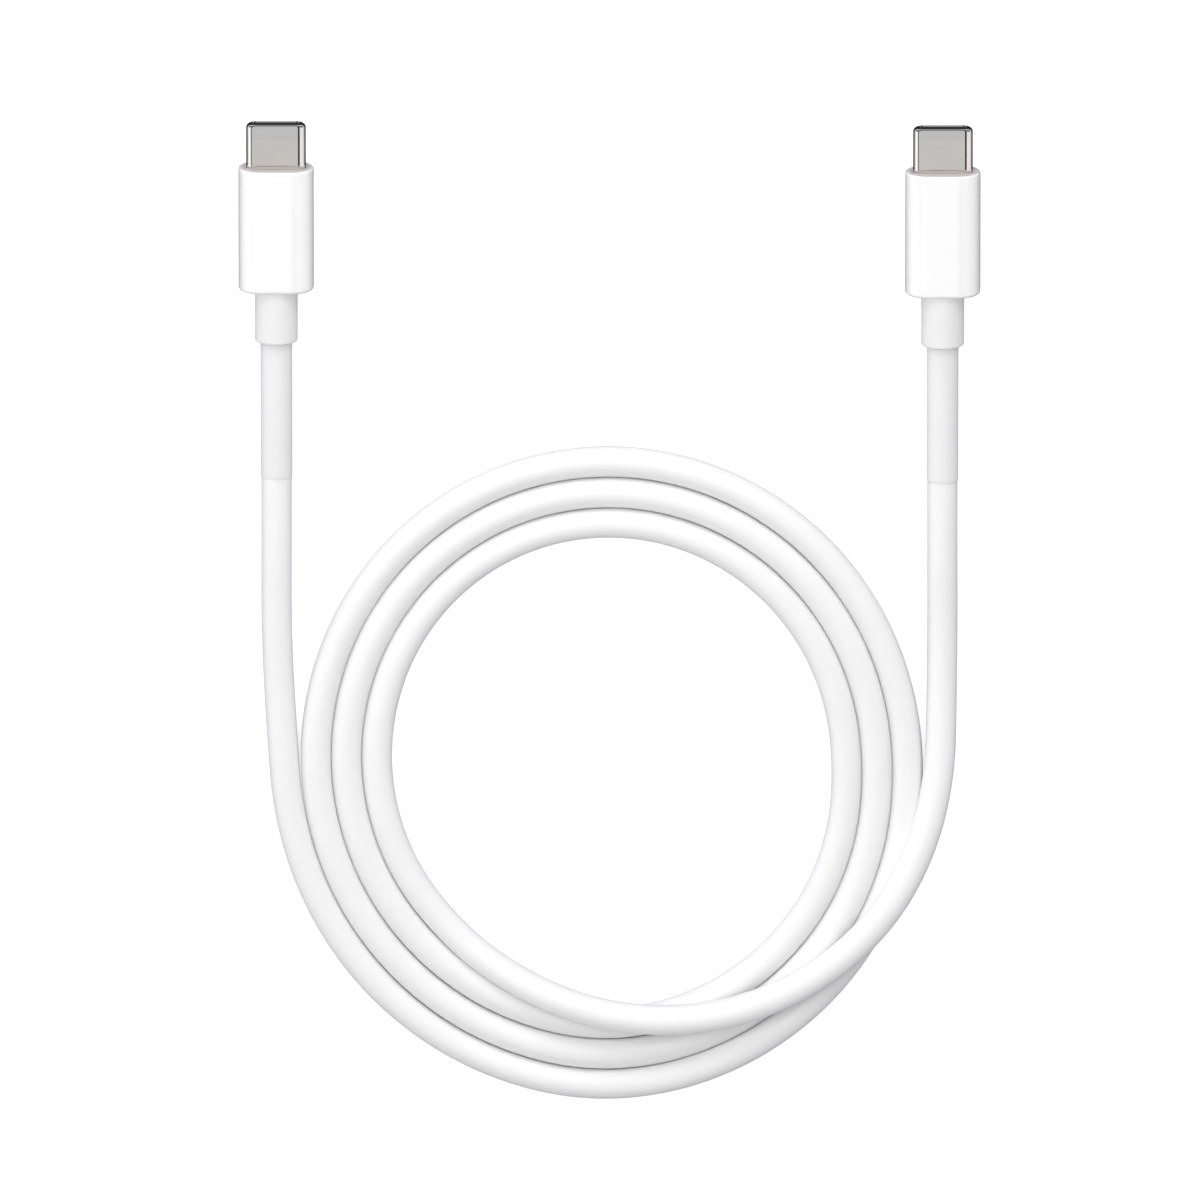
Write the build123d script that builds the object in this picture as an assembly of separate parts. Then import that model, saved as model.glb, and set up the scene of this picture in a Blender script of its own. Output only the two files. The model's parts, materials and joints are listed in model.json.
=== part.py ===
"""Coiled charging cable with a reversible 24-contact plug at each end.

Row frame, millimetres: +Z up from the surface that the cable lies on, +Y the way both
plugs point, +X from the left plug to the right one.  The origin is on that surface, in
the middle of the two plugs.  Each plug is built in its own frame, with y = 0 on the front
face of its housing and z = 0 on its axis, and is then moved to its place.
"""
from build123d import *
import math
import os

# ---- driving dimensions -------------------------------------------------------------
CORD_D = 4.2            # outer diameter of the cable's jacket
PLUG_SPREAD = 92.26     # between the two plug axes
LEFT_LEAD_OVER_RIGHT = 0.6   # the left plug lies this much further forward
LEFT_FACE_Y = 19.13     # front face of the left housing

HOUSING_W, HOUSING_T, HOUSING_L = 10.42, 7.0, 17.5
HOUSING_CORNER = 3.3    # corner radius of the oval section
HOUSING_WALL = 0.8
HOUSING_REAR_WALL = 1.5
FRONT_ROUND, REAR_ROUND = 0.35, 0.5

COLLAR_D, COLLAR_L, COLLAR_ROUND = 5.94, 7.4, 0.3
COLLAR_NECK_R, COLLAR_FLANGE_R, COLLAR_FLANGE_L = 2.4, 2.68, 0.35
SLEEVE_D, SLEEVE_L = 4.4, 19.44

SHELL_W, SHELL_T, SHELL_WALL = 8.25, 2.40, 0.25
SHELL_OUT, SHELL_IN = 6.25, 4.0     # length ahead of and behind the front face
SHELL_CORNER, SHELL_TIP_ROUND = 1.15, 0.15

CAP_BACK, CAP_RECESS = 1.6, 0.1

CARRIER_FRONT, CARRIER_BACK = 5.8, -3.4
TONGUE_W, TONGUE_GAP = 6.8, 0.80    # slot for the socket's tongue
TONGUE_BACK = 0.6
CONTACT_COUNT, CONTACT_PITCH, CONTACT_W = 12, 0.5, 0.22
CONTACT_T = 0.15
CONTACT_POCKET_W, CONTACT_POCKET_TOP, CONTACT_POCKET_FRONT = 6.2, 0.80, 4.9
TAIL_BACK = -6.2
SPRING_W, SPRING_T, SPRING_L = 5.6, 0.12, 0.8

LATCH_X0, LATCH_X1, LATCH_HALF_H = 3.42, 3.54, 0.25
LATCH_ROOT, LATCH_FRONT = -1.6, 4.3
BRIDGE_BACK, BRIDGE_HALF_T = -3.3, 0.1

CARD_W, CARD_T = 7.7, 0.8
CARD_FRONT, CARD_BACK = -4.2, -11.2
CAN_W, CAN_T, CAN_CORNER, CAN_WALL = 8.2, 4.8, 2.1, 0.2
CAN_FRONT, CAN_BACK = -4.05, -13.4
BRAID_R, FERRULE_R = 2.22, 2.42
FERRULE_BACK = -15.4
JACKET_BORE_R, JACKET_FRONT = 1.6, -13.0
MOULD_BACK = -15.6
WIRE_FRONT, WIRE_BACK = -9.5, -23.0
POWER_WIRE_R, SIGNAL_WIRE_R = 0.55, 0.3
FIT = 0.02              # gap between pieces that slide together when they are assembled

# ---- the coil -----------------------------------------------------------------------
COIL_X, COIL_Y = 0.25, -66.25
COIL_TALL = 1.045       # the loose turns are a little longer one way than the other
COIL_TURN = 7.8         # degrees that the long way is turned from Y, towards -X
TURN_PITCH = 4.23       # from one turn to the next
RING_1_R = 40.95        # outer whole turn; the cable comes in one pitch further out
JOIN_IN, JOIN_OUT = 182, 217    # degrees round the turned coil where the two leads meet it

# ---- routes of the two leads, chosen by hand, from each sleeve's end to the coil ------
LEFT_ROUTE = [(-46.13, -35.0, 3.5), (-46.2, -44.8, 2.8), (-45.95, -53.6, 2.2), (-45.5, -61.8, 2.1)]
RIGHT_ROUTE = [
    (46.13, -35.5, 3.5), (46.2, -46.0, 2.4), (46.1, -56.8, 2.4), (45.95, -67.5, 3.4),
    (43.85, -77.2, 5.0), (39.4, -86.3, 6.2), (32.6, -93.9, 6.45), (23.9, -99.5, 6.5),
    (14.1, -102.6, 6.45), (3.8, -103.0, 6.4), (-6.6, -100.8, 5.4), (-16.3, -96.0, 3.2),
]

RIGHT_FACE_Y = LEFT_FACE_Y - LEFT_LEAD_OVER_RIGHT
AXIS_Z = HOUSING_T / 2
CORD_R = CORD_D / 2
COLLAR_BACK = -HOUSING_L - COLLAR_L
SLEEVE_BACK = COLLAR_BACK - SLEEVE_L


# ---- small helpers --------------------------------------------------------------------
def across(y):
    """A plane square to the plug's axis at y; things are extruded from it towards +Y."""
    return Plane(origin=(0, y, 0), x_dir=(1, 0, 0), z_dir=(0, 1, 0))


def oval(width, height, corner, back, front):
    """A rounded bar along the plug's axis."""
    return extrude(across(back) * RectangleRounded(width, height, corner), front - back)


def rod(radius, back, front, x=0.0, z=0.0):
    """A round bar along the plug's axis."""
    return Pos(x, 0, z) * extrude(across(back) * Circle(radius), front - back)


def block(x0, x1, y0, y1, z0, z1):
    return Pos((x0 + x1) / 2, (y0 + y1) / 2, (z0 + z1) / 2) * Box(x1 - x0, y1 - y0, z1 - z0)


def end_edges(solid, y):
    """The edges of a solid that lie flat at one y."""
    return [e for e in solid.edges()
            if abs(e.bounding_box().min.Y - y) < 1e-4 and abs(e.bounding_box().max.Y - y) < 1e-4]


def side_profile(points, x, width):
    """A blade cut to a (y, z) outline, centred on x."""
    outline = Polyline(*[(x - width / 2, y, z) for y, z in points], close=True)
    return extrude(make_face(outline), width, dir=(1, 0, 0))


# ---- the pieces of one plug -------------------------------------------------------------
def metal_shell():
    """Drawn steel mouth that goes into the socket."""
    outer = oval(SHELL_W, SHELL_T, SHELL_CORNER, -SHELL_IN, SHELL_OUT)
    outer = fillet(end_edges(outer, SHELL_OUT), SHELL_TIP_ROUND)
    inner = oval(SHELL_W - 2 * SHELL_WALL, SHELL_T - 2 * SHELL_WALL, SHELL_CORNER - SHELL_WALL,
                 -SHELL_IN - 1, SHELL_OUT + 1)
    return outer - inner


def front_cap():
    """Insert that closes the housing round the metal shell."""
    cap = oval(HOUSING_W - 2 * HOUSING_WALL - FIT, HOUSING_T - 2 * HOUSING_WALL - FIT,
               HOUSING_CORNER - HOUSING_WALL, -CAP_BACK, -CAP_RECESS)
    return cap - oval(SHELL_W + FIT, SHELL_T + FIT, SHELL_CORNER, -CAP_BACK - 1, 1)


def housing():
    """Glossy oval tube with a wall at its rear, which the collar passes through."""
    body = oval(HOUSING_W, HOUSING_T, HOUSING_CORNER, -HOUSING_L, 0)
    body = fillet(end_edges(body, 0), FRONT_ROUND)
    body = fillet(end_edges(body, -HOUSING_L), REAR_ROUND)
    body -= oval(HOUSING_W - 2 * HOUSING_WALL, HOUSING_T - 2 * HOUSING_WALL,
                 HOUSING_CORNER - HOUSING_WALL, -HOUSING_L + HOUSING_REAR_WALL, 1)
    return body - rod(COLLAR_NECK_R + FIT / 2, -HOUSING_L - 1, 0)


def collar():
    """Strain-relief collar: the part outside, a neck through the rear wall and a flange."""
    inside = -HOUSING_L + HOUSING_REAR_WALL
    outside = fillet(end_edges(rod(COLLAR_D / 2, COLLAR_BACK, -HOUSING_L), COLLAR_BACK), COLLAR_ROUND)
    whole = outside + rod(COLLAR_NECK_R, -HOUSING_L, inside)
    whole += rod(COLLAR_FLANGE_R, inside, inside + COLLAR_FLANGE_L)
    return whole - rod(CORD_R, COLLAR_BACK - 1, 0)


def sleeve():
    """Thin flexible sleeve over the cable behind the collar."""
    return rod(SLEEVE_D / 2, SLEEVE_BACK, COLLAR_BACK) - rod(CORD_R, SLEEVE_BACK - 1, 0)


def jacket_end():
    """The cable's own jacket, from the sleeve's end to inside the shield can."""
    return rod(CORD_R, SLEEVE_BACK, JACKET_FRONT) - rod(JACKET_BORE_R, SLEEVE_BACK - 1, 0)


def contact_carrier():
    """Insulating moulding in the shell, with the socket tongue's slot and the contact pockets."""
    body = oval(SHELL_W - 2 * SHELL_WALL - 2 * FIT, SHELL_T - 2 * SHELL_WALL - 2 * FIT,
                SHELL_CORNER - SHELL_WALL - FIT, CARRIER_BACK, CARRIER_FRONT)
    half = TONGUE_GAP / 2
    body -= block(-TONGUE_W / 2, TONGUE_W / 2, TONGUE_BACK, CARRIER_FRONT + 1, -half, half)
    for up in (1, -1):
        pocket = sorted((up * (half - FIT), up * CONTACT_POCKET_TOP))
        body -= block(-CONTACT_POCKET_W / 2, CONTACT_POCKET_W / 2, TONGUE_BACK,
                      CONTACT_POCKET_FRONT, *pocket)
        slot = sorted((up * half, up * (half + CONTACT_T)))
        body -= block(-CONTACT_POCKET_W / 2, CONTACT_POCKET_W / 2, CARRIER_BACK - 1,
                      TONGUE_BACK, *slot)
        seat = sorted((up * (half - FIT), up * (half + SPRING_T)))
        body -= block(-SPRING_W / 2, SPRING_W / 2, CARRIER_FRONT - SPRING_L,
                      CARRIER_FRONT + 1, *seat)
    for side in (1, -1):
        groove = sorted((side * (LATCH_X0 - 0.08), side * SHELL_W / 2))
        body -= block(*groove, LATCH_ROOT - FIT, CARRIER_FRONT - SPRING_L,
                      -LATCH_HALF_H - 0.08, LATCH_HALF_H + 0.08)
    bridge = LATCH_X0 - FIT
    return body - block(-bridge, bridge, CARRIER_BACK - 1, LATCH_ROOT, -BRIDGE_HALF_T, BRIDGE_HALF_T)


def contact_columns():
    first = -(CONTACT_COUNT - 1) * CONTACT_PITCH / 2
    return [first + i * CONTACT_PITCH for i in range(CONTACT_COUNT)]


def spring_contacts(up):
    """One row of spring beams; up is 1 for the upper row and -1 for the lower."""
    low, high = TONGUE_GAP / 2, TONGUE_GAP / 2 + CONTACT_T
    beam = [(TONGUE_BACK, low), (3.7, 0.22), (4.0, 0.22), (4.55, 0.44), (4.55, 0.60),
            (3.95, 0.37), (3.75, 0.37), (TONGUE_BACK, high)]
    blades = [side_profile([(y, up * z) for y, z in beam], x, CONTACT_W) for x in contact_columns()]
    return Compound(children=blades)


def contact_tails():
    """The fixed halves of all the contacts, held in the carrier and soldered to the card."""
    low, high = TONGUE_GAP / 2, TONGUE_GAP / 2 + CONTACT_T
    tails = []
    for up in (1, -1):
        z = sorted((up * low, up * high))
        for x in contact_columns():
            tails.append(block(x - CONTACT_W / 2, x + CONTACT_W / 2, TAIL_BACK, TONGUE_BACK, *z))
    return Compound(children=tails)


def latch_arm(side):
    """Side latch; side is 1 for the arm on +X and -1 for the one on -X."""
    outline = [(LATCH_X0, LATCH_ROOT), (LATCH_X1, LATCH_ROOT), (LATCH_X1, LATCH_FRONT),
               (3.30, 4.7), (3.08, 4.15), (LATCH_X0, 3.6)]
    flat = Polyline(*[(side * x, y, -LATCH_HALF_H) for x, y in outline], close=True)
    return extrude(make_face(flat), 2 * LATCH_HALF_H, dir=(0, 0, 1))


def latch_bridge():
    """Middle plate between the contact rows that joins the two latch arms."""
    edge = LATCH_X0 - FIT
    return block(-edge, edge, BRIDGE_BACK, LATCH_ROOT, -BRIDGE_HALF_T, BRIDGE_HALF_T)


def ground_springs():
    """The two grounding strips in the mouth, above and below the tongue's slot."""
    half = TONGUE_GAP / 2
    strips = []
    for up in (1, -1):
        z = sorted((up * half, up * (half + SPRING_T)))
        strips.append(block(-SPRING_W / 2, SPRING_W / 2, CARRIER_FRONT - SPRING_L, CARRIER_FRONT, *z))
    return Compound(children=strips)


def paddle_card():
    """Small circuit board that the contacts and the wires are soldered to."""
    return block(-CARD_W / 2, CARD_W / 2, CARD_BACK, CARD_FRONT, -CARD_T / 2, CARD_T / 2)


def marker_chip():
    """Identification chip on top of the card, in the left plug alone."""
    return block(-1.1, 1.1, -8.9, -6.7, CARD_T / 2, CARD_T / 2 + 0.6)


def capacitors():
    """Three small parts under the card."""
    under = -CARD_T / 2
    return Compound(children=[block(x - 0.25, x + 0.25, -8.3, -7.3, under - 0.5, under)
                              for x in (-2.4, 0, 2.4)])


def shield_can(up):
    """Half of the pressed shield round the card; up is 1 for the upper half."""
    outer = oval(CAN_W, CAN_T, CAN_CORNER, CAN_BACK, CAN_FRONT)
    outer -= oval(CAN_W - 2 * CAN_WALL, CAN_T - 2 * CAN_WALL, CAN_CORNER - CAN_WALL,
                  CAN_BACK + CAN_WALL, 0)
    outer -= rod(CORD_R + FIT, CAN_BACK - 1, CAN_BACK + 1)
    z = sorted((up * FIT / 2, up * CAN_T))
    return outer & block(-CAN_W, CAN_W, CAN_BACK - 1, 0, *z)


def braid_end():
    """Shield braid, folded back over the jacket."""
    return rod(BRAID_R, FERRULE_BACK, CAN_BACK) - rod(CORD_R, FERRULE_BACK - 1, 0)


def crimp_ferrule():
    """Ring crimped on the braid."""
    return rod(FERRULE_R, FERRULE_BACK, CAN_BACK) - rod(BRAID_R, FERRULE_BACK - 1, 0)


def inner_mould():
    """Hard inner moulding that centres the can and the shell in the housing."""
    body = oval(HOUSING_W - 2 * HOUSING_WALL - FIT, HOUSING_T - 2 * HOUSING_WALL - FIT,
                HOUSING_CORNER - HOUSING_WALL, MOULD_BACK, -CAP_BACK)
    body -= oval(CAN_W + FIT, CAN_T + FIT, CAN_CORNER, CAN_BACK, CAN_FRONT)
    body -= oval(SHELL_W + FIT, SHELL_T + FIT, SHELL_CORNER, CAN_FRONT - 1, 1)
    return body - rod(FERRULE_R + FIT, MOULD_BACK - 1, CAN_BACK)


def wires(radius, places):
    """Insulated wires that run straight from the jacket to the card's pads."""
    found = [rod(radius, WIRE_BACK, WIRE_FRONT, x, z) for x, z in places]
    return found[0] if len(found) == 1 else Compound(children=found)


def plug_pieces():
    power_z = CARD_T / 2 + POWER_WIRE_R
    signal_z = CARD_T / 2 + SIGNAL_WIRE_R
    return {
        "metal_shell": metal_shell(),
        "front_cap": front_cap(),
        "housing": housing(),
        "collar": collar(),
        "sleeve": sleeve(),
        "jacket_end": jacket_end(),
        "contact_carrier": contact_carrier(),
        "upper_contacts": spring_contacts(1),
        "lower_contacts": spring_contacts(-1),
        "contact_tails": contact_tails(),
        "latch_bridge": latch_bridge(),
        "ground_springs": ground_springs(),
        "paddle_card": paddle_card(),
        "capacitors": capacitors(),
        "upper_shield_can": shield_can(1),
        "lower_shield_can": shield_can(-1),
        "braid_end": braid_end(),
        "crimp_ferrule": crimp_ferrule(),
        "inner_mould": inner_mould(),
        "power_wire": wires(POWER_WIRE_R, [(0, power_z)]),
        "ground_wire": wires(POWER_WIRE_R, [(0, -power_z)]),
        "data_wires": wires(SIGNAL_WIRE_R, [(1.0, signal_z), (1.0, -signal_z)]),
        "sense_wire": wires(SIGNAL_WIRE_R, [(-1.0, signal_z)]),
    }


# ---- the cord ---------------------------------------------------------------------------
def coil_point(degrees, radius, z):
    turn = math.radians(degrees)
    point = Vector(radius * math.cos(turn), COIL_TALL * radius * math.sin(turn), z)
    return Vector(COIL_X, COIL_Y, 0) + point.rotate(Axis.Z, COIL_TURN)


def lead(name, start, route, end):
    """A tube along straight runs joined by arcs as large as the runs allow."""
    points = [Vector(*p) for p in [start, *route, end]]
    radii = []
    for before, here, after in zip(points, points[1:], points[2:]):
        run_in, run_out = here - before, after - here
        half_turn = math.radians(run_in.get_angle(run_out)) / 2
        radii.append(0.45 * min(run_in.length, run_out.length) / math.tan(half_turn))
    path = FilletPolyline(*points, radius=radii)
    section = Plane(origin=path @ 0, z_dir=path % 0) * Circle(CORD_R)
    tube = sweep(section, path=path)
    full = math.pi * CORD_R ** 2 * path.length
    print(name, "length", round(path.length, 1), "volume / (section x length)", round(tube.volume / full, 4))
    print("  runs ", [round((b - a).length, 1) for a, b in zip(points, points[1:])])
    print("  radii", [round(r) for r in radii])
    return tube


def coil_solid():
    """Closed ring of the coil's outer shape: three turns side by side, and the end of the
    left lead outside them from the left round to the bottom."""
    outer_r = RING_1_R + CORD_R
    outermost_r = outer_r + TURN_PITCH
    inner_r = RING_1_R - 2 * TURN_PITCH - CORD_R
    inner_low_r = inner_r + TURN_PITCH

    def bend(x_radius, y_radius, start, end):
        return EllipticalCenterArc((COIL_X, COIL_Y), x_radius, y_radius * COIL_TALL, start,
                                   arc_size=end - start, rotation=COIL_TURN)

    top = bend(outer_r, outer_r, 0, JOIN_IN)
    low_left = bend(outermost_r, outermost_r, JOIN_IN, 270)
    low_right = bend(outer_r, outermost_r, 270, 360)
    step_in = Line(top @ 1, low_left @ 0)
    hole_top = bend(inner_r, inner_r, 0, JOIN_OUT)
    hole_left = bend(inner_low_r, inner_low_r, JOIN_OUT, 270)
    hole_right = bend(inner_r, inner_low_r, 270, 360)
    step_out = Line(hole_top @ 1, hole_left @ 0)
    plate = make_face([top, step_in, low_left, low_right])
    plate -= make_face([hole_top, step_out, hole_left, hole_right])
    return extrude(plate, CORD_D)


# ---- assembly ---------------------------------------------------------------------------
parts = {}
plugs = {
    "left": (-PLUG_SPREAD / 2, LEFT_FACE_Y),
    "right": (PLUG_SPREAD / 2, RIGHT_FACE_Y),
}
pieces = plug_pieces()
for side, (x, y) in plugs.items():
    place = Pos(x, y, AXIS_Z)
    away = -1 if side == "left" else 1      # the way that faces away from the other plug
    for name, piece in pieces.items():
        parts[f"{side}_{name}"] = place * piece
    parts[f"{side}_outer_latch"] = place * latch_arm(away)
    parts[f"{side}_inner_latch"] = place * latch_arm(-away)
left_x, left_y = plugs["left"]
parts["left_marker_chip"] = Pos(left_x, left_y, AXIS_Z) * marker_chip()

parts["coil"] = coil_solid()
parts["left_lead"] = lead(
    "left lead", (left_x, left_y + SLEEVE_BACK, AXIS_Z), LEFT_ROUTE,
    coil_point(JOIN_IN, RING_1_R + TURN_PITCH, CORD_R))
right_x, right_y = plugs["right"]
parts["right_lead"] = lead(
    "right lead", (right_x, right_y + SLEEVE_BACK, AXIS_Z), RIGHT_ROUTE,
    coil_point(JOIN_OUT, RING_1_R - 2 * TURN_PITCH, CORD_R))

os.makedirs("parts", exist_ok=True)
for name, shape in parts.items():
    shape.label = name
    export_step(shape, f"parts/{name}.step")
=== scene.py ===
"""Charging cable in a flat coil, with a reversible plug at each end: looks and studio."""
import json
import math

import bmesh
import bpy
from bpy.props import FloatProperty, FloatVectorProperty, IntProperty, PointerProperty
from mathutils import Matrix, Vector


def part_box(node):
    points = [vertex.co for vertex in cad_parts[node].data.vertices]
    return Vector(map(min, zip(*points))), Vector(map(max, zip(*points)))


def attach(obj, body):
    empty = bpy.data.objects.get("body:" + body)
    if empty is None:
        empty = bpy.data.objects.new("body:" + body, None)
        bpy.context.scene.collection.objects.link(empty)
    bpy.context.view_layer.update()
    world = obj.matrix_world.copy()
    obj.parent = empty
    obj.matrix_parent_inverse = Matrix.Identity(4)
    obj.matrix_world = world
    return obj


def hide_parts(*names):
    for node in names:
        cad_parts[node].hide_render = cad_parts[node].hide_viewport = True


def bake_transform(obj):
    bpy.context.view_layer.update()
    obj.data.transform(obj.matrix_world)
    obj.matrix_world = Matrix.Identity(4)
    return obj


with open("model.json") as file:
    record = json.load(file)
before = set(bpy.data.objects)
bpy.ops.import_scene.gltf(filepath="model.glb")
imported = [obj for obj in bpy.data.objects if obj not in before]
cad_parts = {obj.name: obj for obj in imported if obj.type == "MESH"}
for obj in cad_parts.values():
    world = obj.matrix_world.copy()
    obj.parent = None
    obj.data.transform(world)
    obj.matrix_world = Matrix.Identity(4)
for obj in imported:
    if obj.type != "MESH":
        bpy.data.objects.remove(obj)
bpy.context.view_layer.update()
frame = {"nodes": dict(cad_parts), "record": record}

bl_info = {
    "name": "Charging cable",
    "version": (1, 0, 0),
    "blender": (4, 5, 0),
    "location": "3D View > Sidebar > Cable",
    "description": "Coiled cable with moulded plugs, built round its packed frame",
    "category": "Object",
}

MM = 0.001
SIDES = ("left", "right")


def colour(code):
    """A colour written as sRGB hex, in Blender's linear values."""
    channels = [int(code[i:i + 2], 16) / 255 for i in (1, 3, 5)]
    return tuple(c / 12.92 if c <= 0.04045 else ((c + 0.055) / 1.055) ** 2.4
                 for c in channels)


# ---- what a user may change ----------------------------------------------------------
def length(name, millimetres, description):
    return FloatProperty(name=name, description=description, default=millimetres * MM,
                         min=0.0, unit="LENGTH")


def tint(name, code, description):
    return FloatVectorProperty(name=name, description=description, default=colour(code),
                               size=3, min=0.0, max=1.0, subtype="COLOR")


class CordSettings(bpy.types.PropertyGroup):
    diameter: length("Cord diameter", 4.2, "Outer diameter of the jacket")
    coil_radius: length("Outer turn", 40.95, "Radius of the outer whole turn")
    pitch: length("Turn pitch", 4.23, "From one turn to the next")
    coil_tall: FloatProperty(
        name="Coil stretch", description="Length of the coil over its width",
        default=1.045, min=0.5, max=2.0)
    coil_turn: FloatProperty(
        name="Coil turn", description="How far its long way leans from Y",
        default=math.radians(7.8), subtype="ANGLE")
    steps: IntProperty(
        name="Coil points", description="Points of the spline along the coil",
        default=74, min=36)


class PlugSettings(bpy.types.PropertyGroup):
    corner: length("Housing corner", 3.3, "Corner radius of the oval housing")
    wall: length("Housing wall", 0.8, "Thickness of the housing round its insert")
    front_round: length("Front rounding", 0.35, "Rounding of the housing's front rim")
    rear_round: length("Rear rounding", 0.5, "Rounding of the housing's rear edge")
    steel_wall: length("Steel thickness", 0.25, "Sheet thickness of the steel mouth")
    steel_corner: length("Steel corner", 1.15, "Corner radius of the steel mouth's section")
    nose: length("Nose", 0.55, "How far back the sides of the steel mouth start to draw in")
    nose_low: length("Nose height", 0.08, "How far the nose draws in above and below")
    slot_gap: length("Slot gap", 0.05, "Width of the slot left round the steel mouth")
    slot_deep: length("Slot depth", 0.35, "Depth of that slot")
    collar_round: length("Collar rounding", 0.3, "Rounding of the collar's free end")
    collar_length: length("Collar length", 7.4, "Length of the collar behind the housing")


class FinishSettings(bpy.types.PropertyGroup):
    jacket: tint("Jacket", "#F5F5F5", "Cable jacket")
    sleeve: tint("Sleeve", "#EEEDED", "Flexible sleeve and collar")
    housing: tint("Housing", "#FBFAFA", "Glossy housing")
    insert: tint("Insert", "#E8E2DE", "Insert round the steel mouth")
    steel: tint("Steel", "#E8E4E0", "Plated steel of the mouth")


class StudioSettings(bpy.types.PropertyGroup):
    tilt: FloatProperty(
        name="Camera tilt", description="From straight above, towards the plugs",
        default=math.radians(15.5), subtype="ANGLE")
    distance: length("Camera distance", 7000, "From the middle of the picture")
    picture: length("Picture width", 166.44, "Width of what the picture shows")


# ---- finishes ------------------------------------------------------------------------
def add(tree, kind, settings=None, numbered=None, **named):
    """Adds one node. Settings are its own. Its sockets, by number or by name, get a value
    or the output that feeds them."""
    new = tree.nodes.new(kind)
    for key, value in (settings or {}).items():
        setattr(new, key, value)
    sockets = dict(numbered or {})
    sockets.update((key.replace("_", " "), value) for key, value in named.items())
    for key, value in sockets.items():
        if isinstance(value, bpy.types.NodeSocket):
            tree.links.new(value, new.inputs[key])
        else:
            new.inputs[key].default_value = value
    return new


def rgba(value):
    return (*value, 1.0)


SOFT_STEP = {"interpolation_type": "SMOOTHSTEP"}
POLYMER_MOTTLE = 9 * MM         # size of the faint unevenness of a moulded colour
METAL_MOTTLE = 3 * MM           # and of a plated one
COAT_ROUGHNESS = 0.06           # of the skin that a polished tool leaves
TIP_TONE = "#F6FBFF"            # what plating is multiplied by at a formed end


def new_material(name):
    material = bpy.data.materials.new(name)
    material.use_nodes = True
    tree = material.node_tree
    tree.nodes.clear()
    output = tree.nodes.new("ShaderNodeOutputMaterial")
    place = add(tree, "ShaderNodeTexCoord").outputs["Object"]
    return material, tree, output, place


def polymer(name, base, roughness, grain_mm, depth_mm, mottle=0.02, coat=0.0):
    """A moulded or extruded polymer: a fine surface grain, and a colour and a gloss that
    are not quite even."""
    material, tree, output, place = new_material(name)
    fine = add(tree, "ShaderNodeTexNoise", Vector=place, Scale=1 / (grain_mm * MM),
               Detail=3.0, Roughness=0.6)
    broad = add(tree, "ShaderNodeTexNoise", Vector=place, Scale=1 / POLYMER_MOTTLE,
                Detail=2.0)
    shade = add(tree, "ShaderNodeMix", {"data_type": "RGBA"},
                {6: rgba(c * (1 - mottle) for c in base),
                 7: rgba(min(1.0, c * (1 + mottle)) for c in base)},
                Factor=broad.outputs["Fac"])
    gloss = add(tree, "ShaderNodeMapRange", Value=fine.outputs["Fac"],
                To_Min=roughness * 0.9, To_Max=min(1.0, roughness * 1.12))
    bump = add(tree, "ShaderNodeBump", Height=fine.outputs["Fac"],
               Distance=depth_mm * MM, Strength=1.0)
    shader = add(tree, "ShaderNodeBsdfPrincipled", Base_Color=shade.outputs[2],
                 Roughness=gloss.outputs["Result"], Normal=bump.outputs["Normal"],
                 IOR=1.5)
    shader.inputs["Coat Weight"].default_value = coat
    shader.inputs["Coat Roughness"].default_value = COAT_ROUGHNESS
    tree.links.new(shader.outputs["BSDF"], output.inputs["Surface"])
    return material


def metal(name, base, roughness, line_mm, depth_mm, stretch, edge="#FFFFFF", cool=None):
    """A metal with fine drawing lines: noise squeezed across the way that it was drawn.
    cool is where along Y it starts and ends to turn bluer, as plating does at a formed
    end."""
    material, tree, output, place = new_material(name)
    drawn = add(tree, "ShaderNodeMapping", Vector=place, Scale=stretch).outputs["Vector"]
    lines = add(tree, "ShaderNodeTexNoise", Vector=drawn, Scale=1 / (line_mm * MM),
                Detail=4.0, Roughness=0.65)
    broad = add(tree, "ShaderNodeTexNoise", Vector=place, Scale=1 / METAL_MOTTLE,
                Detail=2.0)
    shade = add(tree, "ShaderNodeMix", {"data_type": "RGBA"},
                {6: rgba(c * 0.97 for c in base),
                 7: rgba(min(1.0, c * 1.03) for c in base)},
                Factor=broad.outputs["Fac"])
    tone = shade.outputs[2]
    if cool:
        along = add(tree, "ShaderNodeSeparateXYZ", Vector=place).outputs["Y"]
        near_tip = add(tree, "ShaderNodeMapRange", SOFT_STEP, Value=along,
                       From_Min=cool[0] * MM, From_Max=cool[1] * MM).outputs["Result"]
        tone = add(tree, "ShaderNodeMix", {"data_type": "RGBA", "blend_type": "MULTIPLY"},
                   {6: tone, 7: rgba(colour(TIP_TONE))}, Factor=near_tip).outputs[2]
    gloss = add(tree, "ShaderNodeMapRange", Value=lines.outputs["Fac"],
                To_Min=roughness * 0.8, To_Max=roughness * 1.25)
    bump = add(tree, "ShaderNodeBump", Height=lines.outputs["Fac"],
               Distance=depth_mm * MM, Strength=1.0)
    shader = add(tree, "ShaderNodeBsdfPrincipled", Base_Color=tone,
                 Roughness=gloss.outputs["Result"], Normal=bump.outputs["Normal"],
                 Metallic=1.0)
    # edge tints the reflection at grazing angles; where it is dark, as on the plug steel,
    # it is painted shade along the outline
    shader.inputs["Specular Tint"].default_value = rgba(colour(edge))
    tree.links.new(shader.outputs["BSDF"], output.inputs["Surface"])
    return material


TIP_ALONG_Y = (22.9, 23.7)      # in millimetres, where the mouth's plating turns bluer
MADE = {}       # the materials, by slot, once they are made


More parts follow.
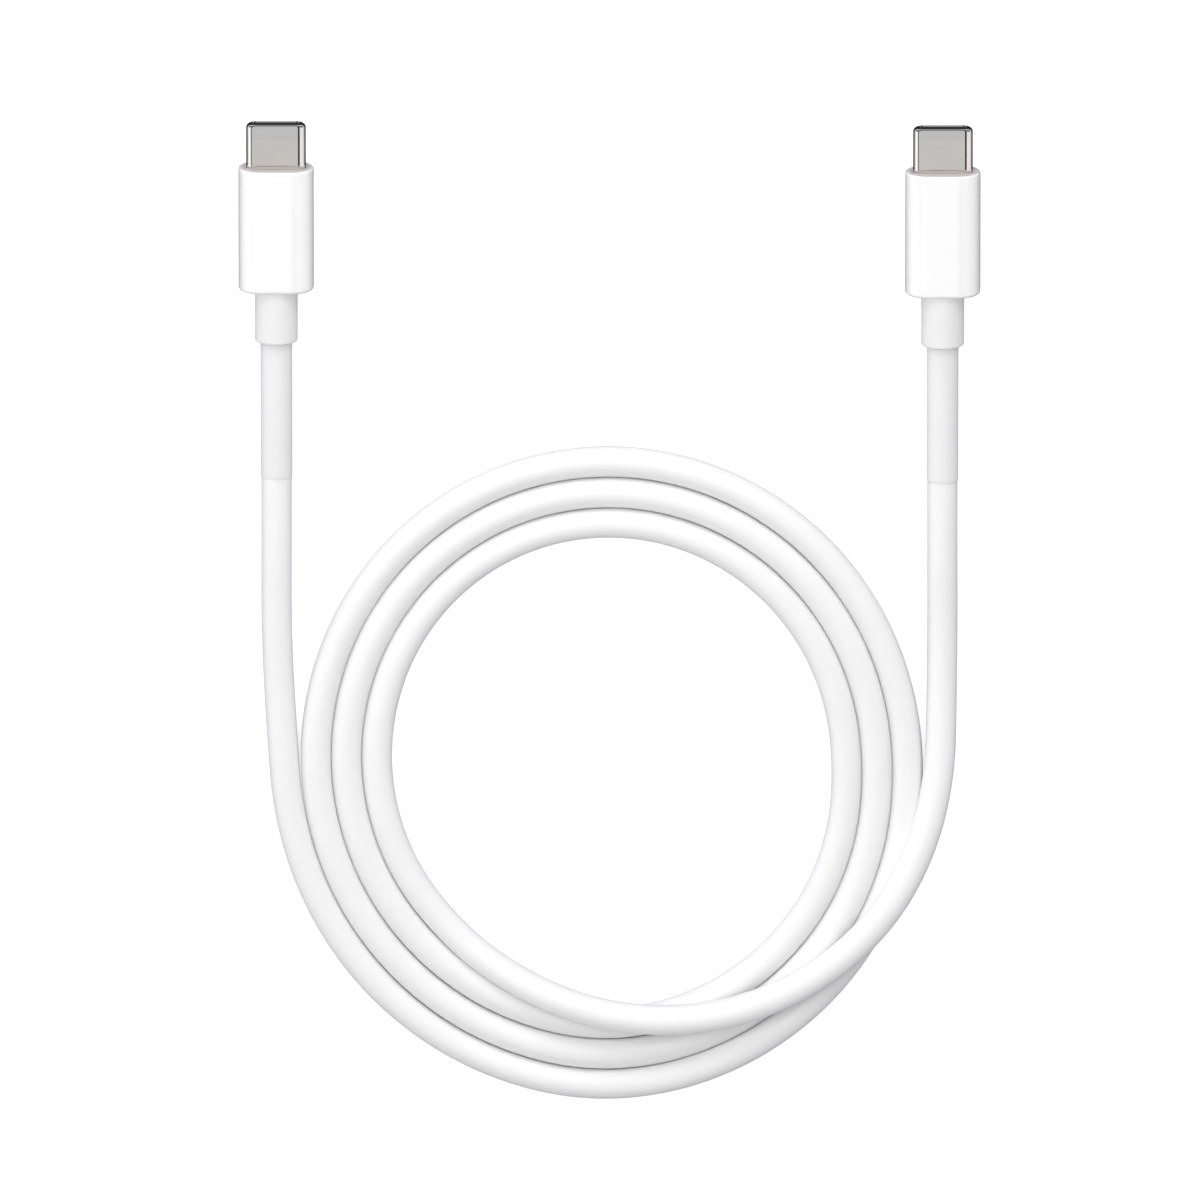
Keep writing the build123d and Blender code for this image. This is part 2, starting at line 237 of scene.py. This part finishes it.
def finishes():
    """Every material, by the slot that it is for. Made once, when first asked for."""
    if MADE:
        return MADE
    look = bpy.context.scene.cable_finish
    along = (1.0, 0.15, 1.0)    # lines that run along the plug
    MADE.update({
        # TPE, extruded: soft satin white with a barely visible die grain
        "cable_jacket": polymer("TPE_extruded", look.jacket, 0.42, 0.35, 0.004),
        # ABS, moulded in a polished tool: deep gloss, faint flow marks
        "housing_plastic": polymer("ABS_polished", look.housing, 0.16, 1.6, 0.001,
                                   0.01, 0.6),
        # ABS, moulded in a spark-eroded tool: fine even matte
        "insert_plastic": polymer("ABS_satin", look.insert, 0.45, 0.18, 0.004),
        # TPE, moulded: fine matte, a little greyer than the jacket
        "collar_elastomer": polymer("TPE_moulded_collar", look.sleeve, 0.55, 0.22, 0.006),
        "sleeve_elastomer": polymer("TPE_moulded_sleeve", look.sleeve, 0.5, 0.25, 0.005),
        # nickel on drawn steel: bright, with fine lines the way it was drawn, and a dark
        # edge tint that is painted shade along its outline in the reflection
        "plug_steel": metal("nickel_plated_steel", look.steel, 0.1, 0.06, 0.0002, along,
                            edge="#585452", cool=TIP_ALONG_Y),
        # LCP, moulded: black and a little glossy
        "carrier_polymer": polymer("LCP_moulded", colour("#16161A"), 0.4, 0.1, 0.003),
        # gold over nickel on copper alloy: bright yellow, rolled
        "gold_contact": metal("gold_plated_copper", colour("#F0C878"), 0.22, 0.05, 0.0004,
                              along),
        # stainless spring strip: bright and rolled
        "spring_steel": metal("stainless_strip", colour("#B9B9BC"), 0.25, 0.05, 0.0005,
                              along),
        # glass-epoxy board under green solder mask
        "circuit_board": polymer("solder_mask", colour("#0F5A34"), 0.3, 0.3, 0.004,
                                 0.06, 0.3),
        # fired ceramic
        "chip_ceramic": polymer("fired_ceramic", colour("#9A7A5C"), 0.5, 0.08, 0.002,
                                0.05),
        # epoxy moulding compound
        "chip_resin": polymer("epoxy_compound", colour("#1A1A1D"), 0.55, 0.08, 0.003),
        # tin on steel: soft grey shine
        "tinned_steel": metal("tinned_steel", colour("#C4C4C6"), 0.32, 0.1, 0.0008, along),
        # tinned copper, braided: dull grey with a coarse grain
        "tinned_braid": metal("tinned_braid", colour("#B8B4B0"), 0.38, 0.12, 0.02,
                              (1, 1, 1)),
        # polyethylene, moulded: milky and soft
        "inner_plastic": polymer("polyethylene", colour("#DCDCD6"), 0.5, 0.5, 0.006),
        # PVC insulation, extruded
        "red_insulation": polymer("PVC_red", colour("#B32420"), 0.4, 0.2, 0.003),
        "black_insulation": polymer("PVC_black", colour("#1B1B1B"), 0.4, 0.2, 0.003),
        "green_insulation": polymer("PVC_green", colour("#2A7A3B"), 0.4, 0.2, 0.003),
        "blue_insulation": polymer("PVC_blue", colour("#27489A"), 0.4, 0.2, 0.003),
    })
    return MADE


# ---- modelling helpers -----------------------------------------------------------------
TINY = 1e-7                     # metres, for tests of where a point lies
SMOOTH_UNDER = math.radians(35)     # edges that turn by less than this shade smooth
ON_OUTLINE = 0.06 * MM          # how near an outline counts as on it
ROUND_SIDES = 96                # sides of a round piece


def deselect():
    bpy.ops.object.select_all(action="DESELECT")


def name_and_apply(name):
    """Names the new object and puts its place, turn and scale into its mesh."""
    piece = bpy.context.object
    piece.name = name
    piece.data.name = name
    bpy.ops.object.transform_apply(location=True, rotation=True, scale=True)
    return piece


def bar(name, low, high):
    """A box between two corners, as the start of a piece."""
    deselect()
    bpy.ops.mesh.primitive_cube_add(size=1, location=(low + high) / 2, scale=high - low)
    return name_and_apply(name)


def round_bar(name, centre, radius, back, front):
    """A cylinder along Y, as the start of a round piece."""
    deselect()
    bpy.ops.mesh.primitive_cylinder_add(
        vertices=ROUND_SIDES, radius=radius, depth=front - back,
        location=(centre.x, (back + front) / 2, centre.z), rotation=(math.pi / 2, 0, 0))
    return name_and_apply(name)


def pick(piece, kind, wanted):
    """In edit mode, selects the edges or faces for which wanted is true."""
    bpy.ops.mesh.select_mode(type=kind)
    bpy.ops.mesh.select_all(action="DESELECT")
    mesh = bmesh.from_edit_mesh(piece.data)
    for item in (mesh.edges if kind == "EDGE" else mesh.faces):
        if wanted(item):
            item.select_set(True)
    bmesh.update_edit_mesh(piece.data)


def lies_at(y):
    """A test for an edge or face: whether all of it is at y."""
    return lambda item: all(abs(corner.co.y - y) < TINY for corner in item.verts)


def runs_along(edge):
    """True for an edge that runs along Y."""
    step = edge.verts[1].co - edge.verts[0].co
    return abs(step.y) > 0.99 * step.length


def round_edges(piece, wanted, size, segments):
    """In edit mode, rounds the edges for which wanted is true to a circular section."""
    pick(piece, "EDGE", wanted)
    bpy.ops.mesh.bevel(offset=size, segments=segments, profile=0.5, affect="EDGES")


def oval(piece, corner, segments=16):
    """In edit mode, rounds the four long edges of a bar."""
    round_edges(piece, runs_along, corner, segments)


def finish_pair(piece, name, slot, node):
    """Smooths the left plug's finished piece, gives it its material, and copies it to the
    right plug with a mesh of its own. Gives back each side with its piece."""
    deselect()
    piece.select_set(True)
    bpy.context.view_layer.objects.active = piece
    bpy.ops.object.shade_smooth_by_angle(angle=SMOOTH_UNDER)
    even = piece.modifiers.new("even_shading", "WEIGHTED_NORMAL")
    even.keep_sharp = True
    bpy.ops.object.modifier_apply(modifier=even.name)
    piece.data.materials.clear()
    piece.data.materials.append(finishes()[slot])
    left, right = (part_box(f"{side}_{node}")[0] for side in SIDES)
    mesh = piece.data.copy()
    mesh.name = f"right_{name}"
    mesh.transform(Matrix.Translation(right - left))
    twin = bpy.data.objects.new(mesh.name, mesh)
    bpy.context.collection.objects.link(twin)
    pairs = list(zip(SIDES, (piece, twin)))
    for side, made in pairs:
        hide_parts(f"{side}_{node}")
    return pairs


def ride_plugs(pairs):
    """Fixes each piece of a pair to its own plug."""
    for side, made in pairs:
        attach(made, f"{side}_plug")


# ---- the cord --------------------------------------------------------------------------
# Where the leads run between the sleeves and the coil, in millimetres
LEFT_ROUTE = [
    (-46.13, -35.0, 3.5), (-46.2, -44.8, 2.8), (-45.95, -53.6, 2.2), (-45.5, -61.8, 2.1),
]
RIGHT_ROUTE = [
    (46.13, -35.5, 3.5), (46.2, -46.0, 2.4), (46.1, -56.8, 2.4), (45.95, -67.5, 3.4),
    (43.85, -77.2, 5.0), (39.4, -86.3, 6.2), (32.6, -93.9, 6.45), (23.9, -99.5, 6.5),
    (14.1, -102.6, 6.45), (3.8, -103.0, 6.4), (-6.6, -100.8, 5.4), (-16.3, -96.0, 3.2),
]
COIL_CENTRE = (0.25, -66.25)
JOIN_IN, JOIN_OUT = 182, 217 + 3 * 360      # degrees round the coil where the leads meet it
SHRINK_FROM, SHRINK_TO = 262, 352           # each turn draws in over this quarter
CORD_IN_SLEEVE = 1.5 * MM                   # how far each end goes into its sleeve


def coil_points(cord):
    """The turns, from the left lead's end to the right lead's start. The spline runs a
    little inside its points, so they stand out by the cosine of half a step."""
    step = math.radians((JOIN_OUT - JOIN_IN) / cord.steps)
    centre = Vector((*COIL_CENTRE, 0)) * MM + Vector((0, 0, cord.diameter / 2))
    lean = Matrix.Rotation(cord.coil_turn, 3, "Z")
    points = []
    for i in range(cord.steps + 1):
        angle = math.radians(JOIN_IN) + step * i
        turn, rest = divmod(math.degrees(angle) - SHRINK_FROM, 360)
        drawn_in = turn + min(1.0, rest / (SHRINK_TO - SHRINK_FROM)) if turn >= 0 else 0
        radius = (cord.coil_radius + cord.pitch * (1 - drawn_in)) / math.cos(step / 2)
        place = Vector((math.cos(angle), cord.coil_tall * math.sin(angle), 0)) * radius
        points.append(centre + lean @ place)
    return points


class CABLE_OT_cord(bpy.types.Operator):
    """Lays the cord: one smooth spline from sleeve to sleeve by way of the coil"""
    bl_idname = "cable.cord"
    bl_label = "Cord"

    def execute(self, context):
        cord = context.scene.cable_cord
        ends = {}
        for side in SIDES:
            low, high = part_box(f"{side}_sleeve")
            ends[side] = Vector(((low.x + high.x) / 2, low.y, (low.z + high.z) / 2))
        hidden = Vector((0, CORD_IN_SLEEVE, 0))
        left = [ends["left"] + hidden, *(Vector(p) * MM for p in LEFT_ROUTE)]
        right = [*(Vector(p) * MM for p in reversed(RIGHT_ROUTE)), ends["right"] + hidden]
        points = [*left, *coil_points(cord), *right]

        curve = bpy.data.curves.new("cord", "CURVE")
        curve.dimensions = "3D"
        spline = curve.splines.new("NURBS")
        spline.points.add(len(points) - 1)
        for knot, point in zip(spline.points, points):
            knot.co = (*point, 1.0)
        spline.order_u = 3
        spline.use_endpoint_u = True
        spline.resolution_u = 10
        curve.bevel_depth = cord.diameter / 2
        curve.bevel_resolution = 10
        curve.use_fill_caps = True
        curve.materials.append(finishes()["cable_jacket"])
        piece = bpy.data.objects.new("cord", curve)
        context.collection.objects.link(piece)
        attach(piece, "cable")
        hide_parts("left_lead", "coil", "right_lead")
        return {"FINISHED"}


# ---- the plugs -------------------------------------------------------------------------
NOSE_RINGS = 7                  # rings of faces along the steel mouth's nose
HOUSING_POCKET = 1.4 * MM       # depth of the housing's pocket for the insert
HOUSING_INNER_ROUND = 0.06 * MM     # rounding where the rim meets the insert
INSERT_ROUND = 0.08 * MM        # rounding of the insert's front edge
COLLAR_IN_HOUSING = 0.4 * MM    # how far the collar runs on into the housing
SLEEVE_IN_COLLAR = 0.6 * MM     # and the sleeve into the collar
SLEEVE_ROUND = 0.05 * MM        # rounding of the free ends of sleeve and jacket
SLEEVE_CUTS = 40                # rings along them


class CABLE_OT_shells(bpy.types.Operator):
    """Models the drawn steel shell of each plug, with a nose whose sides draw in"""
    bl_idname = "cable.shells"
    bl_label = "Steel shells"

    def execute(self, context):
        plug = context.scene.cable_plug
        low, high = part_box("left_metal_shell")
        front = high - Vector((0, plug.nose, 0))
        piece = bar("left_shell", low, front)
        bpy.ops.object.mode_set(mode="EDIT")
        oval(piece, plug.steel_corner, 14)
        pick(piece, "FACE", lies_at(front.y))
        draw_nose((low + high) / 2, (high - low) / 2, plug)
        pick(piece, "FACE", lambda f: lies_at(low.y)(f) or lies_at(high.y)(f))
        bpy.ops.mesh.delete(type="ONLY_FACE")
        bpy.ops.object.mode_set(mode="OBJECT")
        wall = piece.modifiers.new("wall", "SOLIDIFY")
        wall.thickness = plug.steel_wall
        wall.offset = -1
        wall.use_even_offset = True
        bpy.ops.object.modifier_apply(modifier=wall.name)
        ride_plugs(finish_pair(piece, "shell", "plug_steel", "metal_shell"))
        return {"FINISHED"}


def draw_nose(centre, half, plug):
    """In edit mode, extrudes the selected end forward ring by ring: in plan its corners
    follow a quarter circle, and its height comes in a little."""
    past, wide, tall = 0.0, half.x, half.z
    for ring in range(1, NOSE_RINGS + 1):
        turn = math.pi / 2 * ring / NOSE_RINGS
        ahead = plug.nose * math.sin(turn)
        new_wide = half.x - plug.nose * (1 - math.cos(turn))
        new_tall = half.z - plug.nose_low * (1 - math.cos(turn))
        bpy.ops.mesh.extrude_region_move(
            TRANSFORM_OT_translate={"value": (0, ahead - past, 0)})
        bpy.ops.transform.resize(value=(new_wide / wide, 1, new_tall / tall),
                                 center_override=centre)
        past, wide, tall = ahead, new_wide, new_tall


class CABLE_OT_housings(bpy.types.Operator):
    """Models each glossy housing, with its rounded rim and the pocket for the insert"""
    bl_idname = "cable.housings"
    bl_label = "Housings"

    def execute(self, context):
        plug = context.scene.cable_plug
        low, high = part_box("left_housing")
        piece = bar("left_housing_shell", low, high)
        bpy.ops.object.mode_set(mode="EDIT")
        oval(piece, plug.corner)
        pick(piece, "FACE", lies_at(high.y))
        bpy.ops.mesh.inset(thickness=plug.wall, depth=0)
        bpy.ops.mesh.extrude_region_move(
            TRANSFORM_OT_translate={"value": (0, -HOUSING_POCKET, 0)})
        # The front rim's outer edge, its inner edge, and the rear edge
        for y, inset, size, segments in ((high.y, 0.0, plug.front_round, 6),
                                         (high.y, plug.wall, HOUSING_INNER_ROUND, 2),
                                         (low.y, 0.0, plug.rear_round, 8)):
            round_edges(piece, on_outline(y, low, high, plug.corner, inset), size, segments)
        bpy.ops.object.mode_set(mode="OBJECT")
        ride_plugs(finish_pair(piece, "housing_shell", "housing_plastic", "housing"))
        return {"FINISHED"}


def on_outline(y, low, high, corner, inset):
    """A test for an edge: whether it is at y on the oval that lies inset within the box."""
    centre, half = (low + high) / 2, (high - low) / 2

    def wanted(edge):
        middle = (edge.verts[0].co + edge.verts[1].co) / 2
        past_x = max(0.0, abs(middle.x - centre.x) - (half.x - corner))
        past_z = max(0.0, abs(middle.z - centre.z) - (half.z - corner))
        reach = math.hypot(past_x, past_z)
        return lies_at(y)(edge) and abs(reach - (corner - inset)) < ON_OUTLINE

    return wanted


class CABLE_OT_inserts(bpy.types.Operator):
    """Models the insert that closes each housing round the steel shell"""
    bl_idname = "cable.inserts"
    bl_label = "Front inserts"

    def execute(self, context):
        plug = context.scene.cable_plug
        low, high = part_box("left_front_cap")
        piece = bar("left_insert", low, high)
        bpy.ops.object.mode_set(mode="EDIT")
        oval(piece, plug.corner - plug.wall)
        round_edges(piece, lies_at(high.y), INSERT_ROUND, 3)
        bpy.ops.object.mode_set(mode="OBJECT")

        mouth_low, mouth_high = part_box("left_metal_shell")
        gap = Vector((plug.slot_gap, 0, plug.slot_gap))
        slot_low = Vector((mouth_low.x, high.y - plug.slot_deep, mouth_low.z)) - gap
        slot_high = Vector((mouth_high.x, high.y + plug.slot_deep, mouth_high.z)) + gap
        cutter = bar("cutter", slot_low, slot_high)
        bpy.ops.object.mode_set(mode="EDIT")
        oval(cutter, plug.steel_corner + plug.slot_gap)
        bpy.ops.object.mode_set(mode="OBJECT")
        deselect()
        bpy.context.view_layer.objects.active = piece
        slot = piece.modifiers.new("slot", "BOOLEAN")
        slot.object = cutter
        bpy.ops.object.modifier_apply(modifier=slot.name)
        bpy.data.objects.remove(cutter)
        ride_plugs(finish_pair(piece, "insert", "insert_plastic", "front_cap"))
        return {"FINISHED"}


class CABLE_OT_collars(bpy.types.Operator):
    """Models the strain-relief collar behind each housing"""
    bl_idname = "cable.collars"
    bl_label = "Collars"

    def execute(self, context):
        plug = context.scene.cable_plug
        low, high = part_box("left_collar")
        centre = (low + high) / 2
        radius = (high.x - low.x) / 2
        piece = round_bar("left_strain_relief", centre, radius, low.y,
                          low.y + plug.collar_length + COLLAR_IN_HOUSING)
        bpy.ops.object.mode_set(mode="EDIT")
        round_edges(piece, lies_at(low.y), plug.collar_round, 6)
        bpy.ops.object.mode_set(mode="OBJECT")
        ride_plugs(finish_pair(piece, "strain_relief", "collar_elastomer", "collar"))
        return {"FINISHED"}


class CABLE_OT_sleeves(bpy.types.Operator):
    """Models the flexible sleeves and the jacket's ends in them, with rings along their
    length
    """
    bl_idname = "cable.sleeves"
    bl_label = "Flexible sleeves"

    def execute(self, context):
        # Each piece: its node, its name, its slot and how far it runs on into the collar
        for node, name, slot, inside in (
                ("sleeve", "flex_sleeve", "sleeve_elastomer", SLEEVE_IN_COLLAR),
                ("jacket_end", "jacket", "cable_jacket", 0.0)):
            low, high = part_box(f"left_{node}")
            piece = round_bar(f"left_{name}", (low + high) / 2, (high.x - low.x) / 2, low.y,
                              high.y + inside)
            bpy.ops.object.mode_set(mode="EDIT")
            round_edges(piece, lies_at(low.y), SLEEVE_ROUND, 3)
            pick(piece, "EDGE", runs_along)
            bpy.ops.mesh.subdivide(number_cuts=SLEEVE_CUTS)
            bpy.ops.object.mode_set(mode="OBJECT")
            for side, made in finish_pair(piece, name, slot, node):
                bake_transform(made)
        return {"FINISHED"}


class CABLE_OT_inner_parts(bpy.types.Operator):
    """Gives every piece inside the plugs its finish"""
    bl_idname = "cable.inner_parts"
    bl_label = "Inner parts"

    def execute(self, context):
        made = finishes()
        slots = {p["node"]: p["material_slot"] for p in frame["record"]["subparts"]}
        for node, piece in frame["nodes"].items():
            if piece.hide_render:
                continue
            piece.data.materials.clear()
            piece.data.materials.append(made[slots[node]])
        return {"FINISHED"}


# ---- the studio ------------------------------------------------------------------------
MIDDLE = Vector((-1.31, -43.5, 2.0)) * MM      # of the picture
# The floor: how bright it looks, and from where to where it turns from painted shade to
# bright in the object's gloss, as Layer Weight's Facing gives it
FLOOR_SIZE = 6          # metres
FLOOR_GLOW = 0.7
FLOOR_FAR = (0.60, 0.70)
# Each softbox: name, place in metres, width and height, and how bright its face is. They
# stand behind diffusers and aren't mirrored in the gloss; the sky is.
SOFTBOXES = (
    ("key", (-0.12, 0.34, 1.10), (1.0, 0.7), 2.95),
    ("front_fill", (0.0, 1.00, 0.62), (1.2, 0.5), 3.1),
    ("left_fill", (-1.0, -0.25, 0.48), (0.8, 0.7), 0.8),
)
# How bright the sky is from left, -1, to right, 1: white card with a black flag each side
SKY = ((-0.81, 1.35), (-0.75, 0.08), (-0.63, 0.08), (-0.57, 0.68),
       (0.09, 0.68), (0.15, 0.02), (0.47, 0.02), (0.55, 1.0))
SKY_TOP = 1.35      # its brightest
# Bands across it along Y, a black flag before the plugs, paler sky past that, and a grey
# flag behind: where each starts, where it is full, and how bright it is
END_FLAGS = ((0.0, 0.12, 0.05), (0.35, 0.50, 0.55), (-0.40, -0.60, 0.35))


def softbox(name, place, aim, size, radiance):
    """An even rectangle of light that faces the object. A face of that brightness looks as
    bright as white card in full light when it is 1."""
    deselect()
    bpy.ops.object.light_add(type="AREA", location=place)
    lamp = bpy.context.object
    lamp.name = name
    lamp.data.shape = "RECTANGLE"
    lamp.data.size, lamp.data.size_y = size
    lamp.data.energy = radiance * math.pi * size[0] * size[1]
    lamp.visible_glossy = False
    lamp.rotation_euler = (aim - place).to_track_quat("-Z", "Y").to_euler()


class CABLE_OT_studio(bpy.types.Operator):
    """Sets the pale floor, the soft light and the camera above the plugs"""
    bl_idname = "cable.studio"
    bl_label = "Studio"

    def execute(self, context):
        studio = context.scene.cable_studio
        scene = context.scene
        scene.view_settings.view_transform = "Standard"

        # Camera: almost straight above, leaning towards the plugs, through a long lens
        back = Vector((0, math.sin(studio.tilt), math.cos(studio.tilt)))
        bpy.ops.object.camera_add(location=MIDDLE + back * studio.distance,
                                  rotation=(-studio.tilt, 0, 0))
        camera = context.object
        camera.data.lens = camera.data.sensor_width * studio.distance / studio.picture
        camera.data.clip_start, camera.data.clip_end = 0.05, 100
        scene.camera = camera

        # Floor: white card that is bright to look at and throws a softer light on the
        # object. In the object's gloss it shows painted shade close by, a dark card that
        # stands for the floor's shadow there, and is as bright as the sky further off
        deselect()
        bpy.ops.mesh.primitive_plane_add(size=FLOOR_SIZE)
        floor = context.object
        floor.name = "floor"
        material, tree, output, _ = new_material("white_card")
        matte = add(tree, "ShaderNodeBsdfDiffuse", Color=rgba(colour("#D0CFDC")))
        # painted shade: the dark card that the gloss shows near the object, for the floor's
        # shadow there
        floor_painted_shade = add(tree, "ShaderNodeBsdfDiffuse", Color=rgba(colour("#4A4846")))
        glow = add(tree, "ShaderNodeEmission", Color=rgba(colour("#FFFFFF")),
                   Strength=FLOOR_GLOW)
        ray = add(tree, "ShaderNodeLightPath").outputs
        grazing = add(tree, "ShaderNodeLayerWeight", Blend=0.5).outputs["Facing"]
        far = add(tree, "ShaderNodeMapRange", SOFT_STEP, Value=grazing,
                  From_Min=FLOOR_FAR[0], From_Max=FLOOR_FAR[1])
        mirrored = add(tree, "ShaderNodeMixShader", None,
                       {0: far.outputs[0], 1: floor_painted_shade.outputs[0], 2: glow.outputs[0]})
        card = add(tree, "ShaderNodeMixShader", None,
                   {0: ray["Is Glossy Ray"], 1: matte.outputs[0], 2: mirrored.outputs[0]})
        bright = add(tree, "ShaderNodeAddShader", None,
                     {0: matte.outputs[0], 1: glow.outputs[0]})
        shown = add(tree, "ShaderNodeMixShader", None,
                    {0: ray["Is Camera Ray"], 1: card.outputs[0], 2: bright.outputs[0]})
        tree.links.new(shown.outputs[0], output.inputs["Surface"])
        floor.data.materials.append(material)

        # Sky: a white dome with brighter sides. The flags left and right of the middle draw
        # a dark line along each rounded edge of the bright metal, and the one before the
        # plugs darkens their tips
        world = bpy.data.worlds.new("studio")
        scene.world = world
        world.use_nodes = True
        sky = world.node_tree
        way = add(sky, "ShaderNodeTexCoord").outputs["Generated"]
        across, along = add(sky, "ShaderNodeSeparateXYZ", Vector=way).outputs[:2]
        share = add(sky, "ShaderNodeMapRange", Value=across, From_Min=-1.0, From_Max=1.0)
        bands = add(sky, "ShaderNodeValToRGB", Fac=share.outputs[0])
        stops = bands.color_ramp.elements
        while len(stops) < len(SKY):
            stops.new(0.5)
        for stop, (where, level) in zip(stops, SKY):
            stop.position = (where + 1) / 2
            stop.color = rgba([level / SKY_TOP] * 3)
        shade = bands.outputs[0]
        for start, end, level in END_FLAGS:
            flag = add(sky, "ShaderNodeMapRange", SOFT_STEP, Value=along, From_Min=start,
                       From_Max=end)
            shade = add(sky, "ShaderNodeMix", {"data_type": "RGBA"},
                        {6: shade, 7: rgba([level / SKY_TOP] * 3)},
                        Factor=flag.outputs[0]).outputs[2]
        background = sky.nodes["Background"]
        background.inputs["Strength"].default_value = SKY_TOP
        sky.links.new(shade, background.inputs["Color"])

        for name, place, size, radiance in SOFTBOXES:
            softbox(name, Vector(place), MIDDLE, size, radiance)
        return {"FINISHED"}


# ---- panel and registration --------------------------------------------------------------
STEPS = (CABLE_OT_studio, CABLE_OT_cord, CABLE_OT_shells, CABLE_OT_housings,
         CABLE_OT_inserts, CABLE_OT_collars, CABLE_OT_sleeves, CABLE_OT_inner_parts)


class CABLE_PT_panel(bpy.types.Panel):
    """Lists the steps that build the cable"""
    bl_label = "Charging cable"
    bl_idname = "CABLE_PT_panel"
    bl_space_type = "VIEW_3D"
    bl_region_type = "UI"
    bl_category = "Cable"

    def draw(self, context):
        for step in STEPS:
            self.layout.operator(step.bl_idname)


GROUPS = {
    "cable_cord": CordSettings,
    "cable_plug": PlugSettings,
    "cable_finish": FinishSettings,
    "cable_studio": StudioSettings,
}


def register():
    for group in GROUPS.values():
        bpy.utils.register_class(group)
    for name, group in GROUPS.items():
        setattr(bpy.types.Scene, name, PointerProperty(type=group))
    for step in STEPS:
        bpy.utils.register_class(step)
    bpy.utils.register_class(CABLE_PT_panel)


def unregister():
    bpy.utils.unregister_class(CABLE_PT_panel)
    for step in reversed(STEPS):
        bpy.utils.unregister_class(step)
    for name in GROUPS:
        delattr(bpy.types.Scene, name)
    for group in reversed(GROUPS.values()):
        bpy.utils.unregister_class(group)


def main():
    register()
    bpy.ops.cable.studio()
    bpy.ops.cable.cord()
    bpy.ops.cable.shells()
    bpy.ops.cable.housings()
    bpy.ops.cable.inserts()
    bpy.ops.cable.collars()
    bpy.ops.cable.sleeves()
    bpy.ops.cable.inner_parts()


if __name__ == "__main__":
    main()
